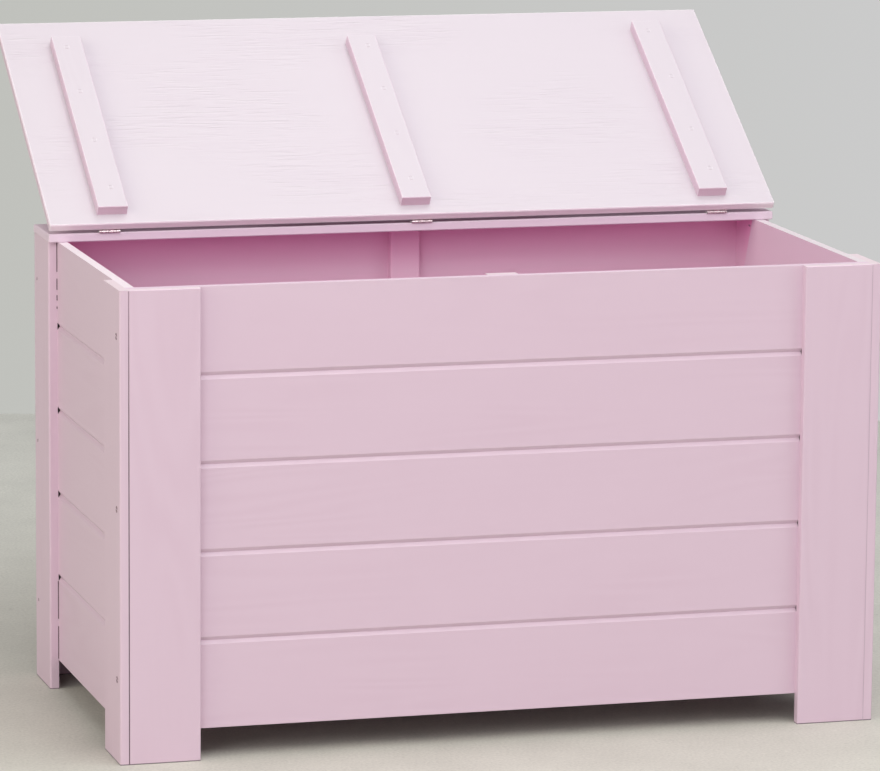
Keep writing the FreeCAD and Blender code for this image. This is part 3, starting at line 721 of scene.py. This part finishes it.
# Joints between the two boards of each leg: open on the left legs, shown as dark strips of painted shade, and filled
# by the paint on the right ones
joint = {
    "height": 598 * mm,
    "foot": 1 * mm,           # above the floor
    "width": 1 * mm,
    "aside": 0.45,            # share of the width by which the open line lies beside the face board
    "deep": 0.5 * mm,
    "proud": 0.03 * mm,
    "taper": 0.3,             # width of its inner side
    "filled": 0.95 * mm,
}
middleZ = joint["height"] / 2 + joint["foot"]


def addStrip(width, depth, middle):
    # A bar along the whole joint, left in edit mode
    bpy.ops.object.select_all(action="DESELECT")
    bpy.ops.mesh.primitive_cube_add(size=1, location=(0, 0, 0))
    bar = bpy.context.object
    bar.scale = (width, depth, joint["height"])
    bar.location = middle
    bpy.ops.object.transform_apply(location=True, rotation=False, scale=True)
    bpy.ops.object.mode_set(mode="EDIT")
    return bar


for end in ("front", "back"):
    low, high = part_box("%s_left_leg_face_board" % end)
    inward = 1 if end == "front" else -1
    faceY = low.y if end == "front" else high.y
    strip = addStrip(joint["width"], joint["deep"], (
        low.x - joint["width"] * joint["aside"], faceY + inward * (joint["deep"] / 2 - joint["proud"]), middleZ))
    editFaces(strip, lambda at, normal: normal.y * inward > squarely)
    bpy.ops.transform.resize(value=(joint["taper"], 1, 1))
    bpy.ops.object.mode_set(mode="OBJECT")
    settle(strip, "legJoint_%s_left" % end, openJoint)
    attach(strip, "chest")
    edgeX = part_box("%s_right_leg_face_board" % end)[1].x
    middle = (edgeX - joint["filled"] / 2, faceY + inward * joint["filled"] / 2, middleZ)
    strip = addStrip(joint["filled"], joint["filled"], middle)
    bpy.ops.mesh.select_all(action="SELECT")
    bpy.ops.mesh.bisect(plane_co=middle, plane_no=(-1, inward, 0), use_fill=True, clear_outer=True)
    bpy.ops.object.mode_set(mode="OBJECT")
    settle(strip, "legJoint_%s_right" % end, paints["filledJoint"])
    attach(strip, "chest")
print("leg joints made")


# Painted shade in the cracks where the rear left leg stands away from the wall, as dark fillets in the corner:
# heights of the open stretches, in mm
crevice = {"width": 1.1 * mm, "spans": ((41, 85), (95, 146), (511, 514), (522, 529), (536, 551), (560, 598.5))}
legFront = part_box("back_left_leg_side_board")[0].y
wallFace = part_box("left_wall_board_1")[0].x
for number, (low, high) in enumerate(crevice["spans"], start=1):
    bpy.ops.object.select_all(action="DESELECT")
    bpy.ops.mesh.primitive_cylinder_add(vertices=4, radius=crevice["width"], depth=(high - low) * mm,
                                        location=(wallFace, legFront, (low + high) / 2 * mm))
    piece = bpy.context.object
    bpy.ops.object.transform_apply(location=True, rotation=False, scale=False)
    bpy.ops.object.mode_set(mode="EDIT")
    for plane in ((1, 0, 0), (0, 1, 0)):
        bpy.ops.mesh.select_all(action="SELECT")
        bpy.ops.mesh.bisect(plane_co=(wallFace, legFront, 0), plane_no=plane, use_fill=True, clear_outer=True)
    bpy.ops.mesh.select_all(action="SELECT")
    bpy.ops.mesh.normals_make_consistent(inside=False)
    bpy.ops.object.mode_set(mode="OBJECT")
    settle(piece, "wallCrackShade_left_%d" % number, openCrack)
    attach(piece, "chest")
print("wall cracks made")


# Screws through the legs, painted over: the two halves of a slotted head, dark with painted shade of their recess,
# with the slot filled
halves = {
    "heights": (106.3 * mm, 322.9 * mm, 540.5 * mm),
    "radius": 4.4 * mm,
    "thick": 0.6 * mm,
    "rise": 0.18 * mm,
    "crownInset": 0.5 * mm,
    "crownDip": 0.1 * mm,
    "slot": 1.6 * mm,
    "tilt": 0.15,             # radians that the slot leans out of level
    "rear": 0.5,              # the rear heads sit deeper and show less
    "innerNail": (57.3 * mm, 589 * mm, 0.32, 0.8),   # along Y and up, and its share of the height and width
}
bpy.ops.object.select_all(action="DESELECT")
bpy.ops.mesh.primitive_cylinder_add(vertices=32, radius=halves["radius"], depth=halves["thick"],
                                    location=(0, 0, halves["rise"] - halves["thick"] / 2))
moons = bpy.context.object
bpy.ops.object.transform_apply(location=True, rotation=False, scale=False)
bpy.ops.object.mode_set(mode="EDIT")
bpy.ops.mesh.select_all(action="SELECT")
bpy.ops.mesh.bisect(plane_co=(0, halves["slot"] / 2, 0), plane_no=(0, 1, 0), use_fill=True, clear_inner=True)
editFaces(moons, lambda at, normal: normal.z > squarely)
bpy.ops.mesh.inset(thickness=halves["crownInset"], depth=0)
bpy.ops.transform.translate(value=(0, 0, -halves["crownDip"]))
bpy.ops.mesh.select_all(action="SELECT")
bpy.ops.mesh.duplicate()
bpy.ops.transform.rotate(value=math.pi, orient_axis="Z", center_override=(0, 0, 0))
bpy.ops.object.mode_set(mode="OBJECT")
settle(moons, "legScrew", paintedSteelInShade)
for end in ("front", "back"):
    for flank in ("left", "right"):
        outward = -1 if flank == "left" else 1
        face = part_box("%s_%s_leg_side_board" % (end, flank))[0 if flank == "left" else 1].x
        low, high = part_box("%s_wall_board_1" % end)
        size = 1 if end == "front" else halves["rear"]
        for number, height in enumerate(halves["heights"], start=1):
            at = Matrix.Translation((face, (low.y + high.y) / 2, height))
            at = at @ Matrix.Rotation(outward * math.pi / 2, 4, "Y")
            at = at @ Matrix.Rotation(math.pi / 2 + halves["tilt"] * outward, 4, "Z")
            at = at @ Matrix.Diagonal((size, size, 1, 1))
            piece = copyTo(moons, "legScrew_%s_%s_%d" % (end, flank, number), at)
            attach(piece, "chest")
along, up, tall, wide = halves["innerNail"]
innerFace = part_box("right_wall_board_5")[0].x
at = Matrix.Translation((innerFace, along, up)) @ Matrix.Rotation(-math.pi / 2, 4, "Y")
piece = copyTo(moons, "wallNail_right", at @ Matrix.Diagonal((tall, wide, 1, 1)))
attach(piece, "chest")
bpy.data.objects.remove(moons)
print("leg screws made")
